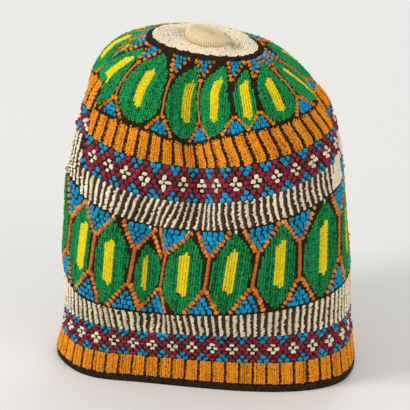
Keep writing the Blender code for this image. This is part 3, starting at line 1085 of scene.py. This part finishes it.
class CapYarns(bpy.types.PropertyGroup):
    """The colours of the yarns."""

    orange: colour_prop("Orange", "Upright blocks of the two block bands", (0.94, 0.268, 0.010))
    rust: colour_prop("Rust", "Cords and chains between the leaves", (0.74, 0.21, 0.030))
    green: colour_prop("Green", "Leaves", (0.008, 0.24, 0.065))
    yellow: colour_prop("Yellow", "Hearts of the leaves", (0.94, 0.70, 0.012))
    blue: colour_prop("Blue", "Small triangles of knots", (0.008, 0.31, 0.58))
    maroon: colour_prop("Maroon", "Lattice round the flowers", (0.265, 0.028, 0.046))
    cream: colour_prop("Cream", "Stripes and flowers", (0.93, 0.70, 0.51))
    dark: colour_prop("Black-brown", "Ground cloth, ribs, hem and ring", (0.025, 0.0155, 0.008))
    disc: colour_prop("Disc", "Pale disc at the top", (0.89, 0.76, 0.55))
    straw: colour_prop("Straw", "Wound button", (0.77, 0.62, 0.38))


class CapSizes(bpy.types.PropertyGroup):
    """The sizes of the stripes and the button."""

    low_stripe: length_prop("Low stripe", "Width of a stripe near the hem", 2.6 * MM)
    high_stripe: length_prop("High stripe", "Width of a stripe near the shoulder", 2.2 * MM)
    button_radius: length_prop("Button radius", "Radius of the wound button", 14.5 * MM)
    button_height: length_prop("Button height", "Height of the button above the disc", 7.0 * MM)
    button_lean: FloatProperty(name="Button lean", description="How far the button leans to the right",
                               default=math.radians(8.0), subtype="ANGLE")


class CapStudio(bpy.types.PropertyGroup):
    """The camera, the floor and the light."""

    azimuth: FloatProperty(name="Azimuth", description="Camera's way round the cap",
                           default=math.radians(11.0), subtype="ANGLE")
    elevation: FloatProperty(name="Elevation", description="Camera's angle above the floor",
                             default=math.radians(24.0), subtype="ANGLE")
    distance: length_prop("Distance", "From the camera to the cap's middle", 1.5)
    aim: length_prop("Aim height", "Height of the point that the camera looks at", 0.115)
    lens: FloatProperty(name="Lens", description="Focal length in millimetres", default=188.15)
    floor: colour_prop("Floor", "Pale studio floor", (0.775, 0.766, 0.754))
    key: FloatProperty(name="Key light", description="Power of the main light in watts", default=25.0)
    fill: FloatProperty(name="Fill light", description="Power of the fill light in watts", default=10.0)
    back: FloatProperty(name="Back light", description="Power of the back light in watts", default=10.0)


class CAP_OT_stage(bpy.types.Operator):
    """Sets up the floor, the soft light and the camera"""

    bl_idname = "cap.stage"
    bl_label = "Studio"

    def execute(self, context):
        studio = context.scene.cap_studio
        context.scene.view_settings.view_transform = "Standard"
        add_floor(studio)
        add_lights(studio)
        add_camera(studio)
        return {"FINISHED"}


def add_floor(studio):
    half = FLOOR_HALF
    mesh = bpy.data.meshes.new("floor")
    corners = [(-half, -half, 0), (half, -half, 0), (half, half, 0), (-half, half, 0)]
    mesh.from_pydata(corners, [], [(0, 1, 2, 3)])
    floor = bpy.data.objects.new("floor", mesh)
    bpy.context.scene.collection.objects.link(floor)
    finish = Finish("floor_paper", 0.9)
    finish.set("Base Color", (*studio.floor, 1.0))
    mesh.materials.append(finish.material)


def add_light(name, place, target, power, size, colour):
    light = bpy.data.lights.new(name, "AREA")
    light.shape = "DISK"
    light.size = size
    light.energy = power
    light.color = colour
    placed = bpy.data.objects.new(name, light)
    placed.location = place
    placed.rotation_euler = (Vector(target) - Vector(place)).to_track_quat("-Z", "Y").to_euler()
    bpy.context.scene.collection.objects.link(placed)


def add_lights(studio):
    target = (0.0, 0.0, 0.1)
    behind = (0.0, 0.8, 0.0)
    add_light("key_light", (-1.5, -0.95, 1.4), target, studio.key, 0.6, (1.0, 0.975, 0.94))
    add_light("fill_light", (1.4, -1.0, 1.1), target, studio.fill, 1.4, (1.0, 0.94, 0.86))
    add_light("back_light", (0.1, 1.7, 1.5), behind, studio.back, 1.2, (0.93, 0.97, 1.0))
    world = bpy.data.worlds.new("studio_air")
    bpy.context.scene.world = world
    world.use_nodes = True
    sky = world.node_tree.nodes["Background"]
    sky.inputs["Color"].default_value = AIR_COLOUR
    sky.inputs["Strength"].default_value = AIR_STRENGTH


def add_camera(studio):
    camera = bpy.data.cameras.new("camera")
    camera.lens = studio.lens
    camera.sensor_width = 36.0
    camera.shift_y = PHOTO_SHIFT / PHOTO_SIZE
    camera.clip_start = 0.05
    placed = bpy.data.objects.new("camera", camera)
    azimuth, elevation = studio.azimuth, studio.elevation
    ahead = Vector((-math.sin(azimuth) * math.cos(elevation), math.cos(azimuth) * math.cos(elevation),
                    -math.sin(elevation)))
    placed.location = Vector((0, 0, studio.aim)) - ahead * studio.distance
    placed.rotation_euler = ahead.to_track_quat("-Z", "Y").to_euler()
    bpy.context.scene.collection.objects.link(placed)
    bpy.context.scene.camera = placed


class CAP_OT_ground(bpy.types.Operator):
    """Cuts the ground cloth of the wall and the crown"""

    bl_idname = "cap.ground"
    bl_label = "Ground cloth"

    def execute(self, context):
        finish = ground_finish("ground_weave", context.scene.cap_yarns.dark)
        shell("wall_ground", (HEM[1], CROWN[0]), WALL, 110, 300, finish, "wall")
        shell("crown_ground", CROWN, WALL, 44, 300, finish, "crown")
        return {"FINISHED"}


class CAP_OT_wall_bands(bpy.types.Operator):
    """Sews the blocks, flowers and stripes of the wall"""

    bl_idname = "cap.wall_bands"
    bl_label = "Wall bands"

    def execute(self, context):
        yarns, sizes = context.scene.cap_yarns, context.scene.cap_sizes
        orange, dark, gaps, cream, flower, maroon, blue = (Spots() for _ in range(7))
        blocks(orange, dark, LOW_BLOCKS, rows=12, count=5)
        blocks(orange, dark, HIGH_BLOCKS, rows=14, count=4)
        for band in (LOW_FLOWERS, HIGH_FLOWERS):
            flowers({"cream": flower, "maroon": maroon, "blue": blue}, band)
        stripes(cream, gaps, LOW_STRIPES, rows=18, across=sizes.low_stripe, ragged=1.0, lean=LOW_LEAN)
        stripes(cream, gaps, HIGH_STRIPES, rows=14, across=sizes.high_stripe, ragged=-1.0, lean=HIGH_LEAN)
        seam(cream)
        for level, wide in RULES:
            rule(dark, level, wide)
        brown = [channel * 2.1 for channel in yarns.dark]
        sew("wall_blocks", orange, yarns.orange, "wall", 11, BLOCK_LOOK, loose=1.6, rough=1.6)
        sew("wall_ribs", dark, yarns.dark, "wall", 12)
        sew("stripe_gaps", gaps, brown, "wall", 17, GAP_LOOK)
        sew("wall_stripes", cream, yarns.cream, "wall", 13, CREAM_LOOK)
        sew("wall_flowers", flower, yarns.cream, "wall", 14, CREAM_LOOK, **KNOTTED)
        sew("wall_lattice", maroon, yarns.maroon, "wall", 15, LATTICE_LOOK, **KNOTTED)
        sew("wall_corners", blue, yarns.blue, "wall", 16, BLUE_LOOK, **KNOTTED)
        return {"FINISHED"}


class CAP_OT_wall_leaves(bpy.types.Operator):
    """Sews the tall leaves of the wall with their cords, chains and triangles"""

    bl_idname = "cap.wall_leaves"
    bl_label = "Wall leaves"

    def execute(self, context):
        yarns = context.scene.cap_yarns
        green, yellow, blue, chains, rust, dark, tips = (Spots() for _ in range(7))
        field = Field(WALL_LEAVES, WALL_LEAF_COUNT, TALL_LEAVES)
        every = np.arange(field.count)
        field.leaves(green, yellow, WALL_LEAF_COLUMN, rows=42, outline=WALL_OUTLINE, room=3.1, seed=61)
        field.triangle(blue, every, first=0.96, step=-0.047, counts=(4, 4, 3, 2, 1), apart=4.4,
                       wide=3.6, long=4.0)
        field.triangle(blue, every, first=0.04, step=0.052, counts=(4, 3, 2, 1), apart=4.3,
                       wide=3.6, long=4.2)
        field.chain(chains, every, (11.8, 0.965), (2.0, 0.73), count=7, wide=2.9, long=4.1, tilt=-0.5)
        field.chain(chains, every, (11.2, 0.035), (2.0, 0.29), count=7, wide=2.9, long=4.2, tilt=0.5)
        # the small leaf has a second chain close over its right shoulder
        beyond = every[3:4]
        field.chain(chains, beyond, (18.5, 0.92), (5.2, 0.68), count=6, wide=3.4, long=4.4, tilt=-0.5,
                    sides=(-1.0,))
        field.cords(rust, every, foot=0.29, top=0.73, wide=2.5, count=24)
        field.ribs(dark, every, foot=0.28, top=0.74, beside=2.4, wide=1.6, rows=14)
        turn, level = field.at("core", every, 0.0, 0.975)
        tips.add(turn, level, 1.9 * MM, 3.4 * MM, 0.7 * MM)
        sew("leaves_green", green, yarns.green, "wall", 21, WALL_LEAF_LOOK, loose=1.6, rough=1.6)
        sew("leaves_hearts", yellow, yarns.yellow, "wall", 22, HEART_LOOK)
        sew("leaves_corners", blue, yarns.blue, "wall", 23, BLUE_LOOK, **KNOTTED)
        sew("leaves_chains", chains, yarns.rust, "wall", 24, CHAIN_LOOK, **KNOTTED)
        sew("leaves_cords", rust, yarns.rust, "wall", 25, CORD_LOOK)
        sew("leaves_ribs", dark, yarns.dark, "wall", 26)
        sew("leaves_tips", tips, yarns.cream, "wall", 27)
        return {"FINISHED"}


class CAP_OT_crown_leaves(bpy.types.Operator):
    """Sews the leaves of the crown with their chains and triangles"""

    bl_idname = "cap.crown_leaves"
    bl_label = "Crown leaves"

    def execute(self, context):
        yarns = context.scene.cap_yarns
        green, yellow, blue, chains, rust, dark = (Spots() for _ in range(6))
        field = Field(CROWN_LEAVES, CROWN_LEAF_COUNT, CROWN)
        every = np.arange(field.count)
        field.leaves(green, yellow, CROWN_LEAF_COLUMN, rows=38, outline=CROWN_OUTLINE, room=1.7, seed=62)
        # the crease at the left shoulder hides the corner at the second leaf's foot
        seen = every[every != 1]
        field.triangle(blue, seen, first=0.045, step=0.05, counts=(4, 3, 2), apart=2.8,
                       wide=2.6, long=3.3)
        field.triangle(blue, every, first=0.968, step=-0.05, counts=(3, 2, 2, 1), apart=2.5,
                       wide=2.4, long=2.9)
        field.chain(chains, seen, (8.8, 0.035), (1.2, 0.225), count=6, wide=2.4, long=2.8, tilt=0.5)
        field.chain(chains, every, (5.2, 0.975), (0.9, 0.73), count=5, wide=2.3, long=2.7, tilt=-0.3)
        # two knots close the dark space over each shorter leaf
        short = every[field.leaf["top"] < 0.915]
        for beside in (-1.5, 1.5):
            turn, level = field.at("core", short, beside * MM, 0.955)
            chains.add(turn, level, 2.3 * MM, 2.7 * MM, 0.95 * MM, beside * 0.3)
        corded = every[field.leaf["corded"] > 0.5]
        bare = every[field.leaf["corded"] < 0.5]
        field.cords(rust, corded, foot=0.22, top=0.75, wide=1.2, count=20)
        field.ribs(dark, bare, foot=0.22, top=0.76, beside=0.8, wide=1.7, rows=16)
        sew("crown_green", green, yarns.green, "crown", 31, LIT_CROWN_LEAF_LOOK, loose=1.5, rough=1.6)
        sew("crown_hearts", yellow, yarns.yellow, "crown", 32, HEART_LOOK)
        sew("crown_corners", blue, yarns.blue, "crown", 33, **KNOTTED)
        sew("crown_chains", chains, yarns.orange, "crown", 34, CROWN_CHAIN_LOOK, **KNOTTED)
        sew("crown_cords", rust, yarns.rust, "crown", 35, CROWN_CORD_LOOK)
        sew("crown_ribs", dark, yarns.dark, "crown", 36)
        return {"FINISHED"}


class CAP_OT_hem_binding(bpy.types.Operator):
    """Binds the hem with two rows of slanting turns of yarn"""

    bl_idname = "cap.hem_binding"
    bl_label = "Hem binding"

    def execute(self, context):
        yarns = context.scene.cap_yarns
        shell("hem_core", HEM, BINDING, 4, 300, ground_finish("binding_core", yarns.dark), "hem")
        turns = Spots()
        for row, level in enumerate(HEM_ROWS):
            turn = (np.arange(HEM_TURNS) + 0.5 * row) / HEM_TURNS
            turns.add(turn, level, 1.9 * MM, 2.3 * MM, 0.7 * MM, 0.5)
        sew("hem_turns", turns, yarns.dark, "hem", 41, HEM_LOOK, loose=1.3, rough=1.2)
        return {"FINISHED"}


class CAP_OT_crown_ring(bpy.types.Operator):
    """Works the dark ring round the disc in three uneven rows"""

    bl_idname = "cap.crown_ring"
    bl_label = "Crown ring"

    def execute(self, context):
        yarns = context.scene.cap_yarns
        shell("ring_core", RING, WALL, 8, 180, ground_finish("ring_core", yarns.dark), "ring")
        turns = Spots()
        for row in range(RING_ROWS):
            turn = (np.arange(RING_TURNS) + 0.5 * row) / RING_TURNS
            sway = 0.12 * np.sin(turn * 2 * math.pi * 23 + 2 * row) + 0.08 * np.sin(turn * 2 * math.pi * 41)
            level = RING[0] + (row + 0.5) / RING_ROWS + sway
            turns.add(turn, level, 1.7 * MM, 2.1 * MM, 0.6 * MM, 0.5)
        sew("ring_turns", turns, yarns.dark, "ring", 42, RING_LOOK, loose=2.0, rough=1.5)
        return {"FINISHED"}


class CAP_OT_crown_disc(bpy.types.Operator):
    """Works the pale disc in circles of thread"""

    bl_idname = "cap.crown_disc"
    bl_label = "Crown disc"

    def execute(self, context):
        yarns = context.scene.cap_yarns
        sheet, middle = disc_sheet()[:2]
        rows = sheet.points[::4]
        top, under = (rows - np.array([0.0, 0.0, depth]) for depth in (GROUND_DEPTH, DISC_WALL))
        double_wall("disc_cloth", top, under, ground_finish("disc_core", yarns.disc), "disc")
        chance = np.random.default_rng(51)
        pale, specks = Spots(), Spots()
        for level in DISC_ROWS:
            count = int(sheet.girth(level) / DISC_PITCH)
            turn = (np.arange(count) + chance.uniform()) / count
            chosen = chance.uniform(size=count) < SPECKED
            pale.add(turn[~chosen], level, 1.35 * MM, 2.9 * MM, 0.5 * MM, math.pi / 2)
            specks.add(turn[chosen], level, 0.6 * MM, 1.4 * MM, 0.3 * MM, math.pi / 2)
        x, y = middle[:2] + np.array(STAIN) * MM
        look = {"stain": (x, y, STAIN_SPREAD), **DISC_LOOK}
        sew("disc_circles", pale, yarns.disc, "disc", 52, look, sheet=sheet)
        speck = [channel * share for channel, share in zip(yarns.disc, SPECK_SHARES)]
        sew("disc_specks", specks, speck, "disc", 53, sheet=sheet)
        return {"FINISHED"}


class CAP_OT_crown_button(bpy.types.Operator):
    """Winds the button: upright turns on its side and curved lines on its top"""

    bl_idname = "cap.crown_button"
    bl_label = "Crown button"

    def execute(self, context):
        yarns, sizes = context.scene.cap_yarns, context.scene.cap_sizes
        middle, axis, side, seat = button_axes(sizes.button_lean)
        ahead = np.cross(axis, side)
        rows, around = BUTTON_ROWS, BUTTON_AROUND
        out_table, up_table = (np.array(values) for values in zip(*BUTTON_PROFILE))
        run = lengths(out_table * sizes.button_radius, up_table * sizes.button_height)
        along = np.linspace(0.0, run[-1], rows)[:, None]
        out, up = np.interp(along, run, out_table), np.interp(along, run, up_table)
        angle = 2 * math.pi * np.arange(around) / around

        # the ridges of thread: upright on the side and circles on the top
        on_side = np.clip((out - 0.80) / 0.14, 0.0, 1.0)
        upright = np.abs(np.sin(angle * BUTTON_WRAPS / 2 + 1.2 * up))
        circles = np.abs(np.sin(along / BUTTON_CIRCLE * math.pi + 0.9 * np.sin(angle)))
        crest = upright * on_side + circles * (1 - on_side)
        ridge = (crest - 1.0) * BUTTON_RIDGE
        reach = out * sizes.button_radius + ridge * on_side
        height = GAP + up * sizes.button_height + ridge * (1 - on_side)
        spoke = side * np.cos(angle)[:, None] + ahead * np.sin(angle)[:, None]
        points = middle + spoke * reach[..., None] + axis * height[..., None]
        # the foot of the turns is sunk in the disc's cloth
        points[0] -= ((points[0] - middle) @ seat + BUTTON_SUNK)[:, None] * seat

        thread = np.zeros((rows, around, 3))
        thread[..., 0] = angle * 14.0 * MM
        thread[..., 1] = along
        # the crest also sets the painted shade between the ridges, through the yarn's finish
        fields = {"tone": np.zeros(rows * around), "thread": thread.reshape(-1, 3), "crest": crest.ravel()}
        finish = yarn_finish("button_yarn", yarns.straw, **BUTTON_LOOK)
        mesh_object("button_turns", points.reshape(-1, 3), ring_faces(rows, around), finish, "button", fields)
        return {"FINISHED"}


def button_axes(lean):
    """The disc's middle, the leaning axis and right side of the button, and the disc's own axis."""
    middle, spokes = disc_sheet()[1:]
    front, right = spokes[DISC_AROUND // 2], spokes[DISC_AROUND * 3 // 4]
    seat = unit(np.cross(front, right))
    level = unit(right)
    side = level * math.cos(lean) - seat * math.sin(lean)
    axis = level * math.sin(lean) + seat * math.cos(lean)
    return middle, axis, side, seat


class CAP_PT_sewing(bpy.types.Panel):
    """The cap's yarns and the steps that sew it"""

    bl_idname = "CAP_PT_sewing"
    bl_label = "Stitched Cap"
    bl_space_type = "VIEW_3D"
    bl_region_type = "UI"
    bl_category = "Cap"

    def draw(self, context):
        column = self.layout.column()
        for settings in (context.scene.cap_yarns, context.scene.cap_sizes, context.scene.cap_studio):
            for name in settings.bl_rna.properties.keys():
                if name not in ("rna_type", "name"):
                    column.prop(settings, name)
        for step in STEPS:
            column.operator(step.bl_idname)


STEPS = (CAP_OT_stage, CAP_OT_ground, CAP_OT_wall_bands, CAP_OT_wall_leaves, CAP_OT_crown_leaves,
         CAP_OT_hem_binding, CAP_OT_crown_ring, CAP_OT_crown_disc, CAP_OT_crown_button)
CLASSES = (CapYarns, CapSizes, CapStudio, *STEPS, CAP_PT_sewing)


def register():
    for made in CLASSES:
        bpy.utils.register_class(made)
    bpy.types.Scene.cap_yarns = PointerProperty(type=CapYarns)
    bpy.types.Scene.cap_sizes = PointerProperty(type=CapSizes)
    bpy.types.Scene.cap_studio = PointerProperty(type=CapStudio)


def unregister():
    del bpy.types.Scene.cap_studio
    del bpy.types.Scene.cap_sizes
    del bpy.types.Scene.cap_yarns
    for made in reversed(CLASSES):
        bpy.utils.unregister_class(made)


def main():
    register()
    for step in STEPS:
        group, name = step.bl_idname.split(".")
        getattr(getattr(bpy.ops, group), name)()


if __name__ == "__main__":
    main()
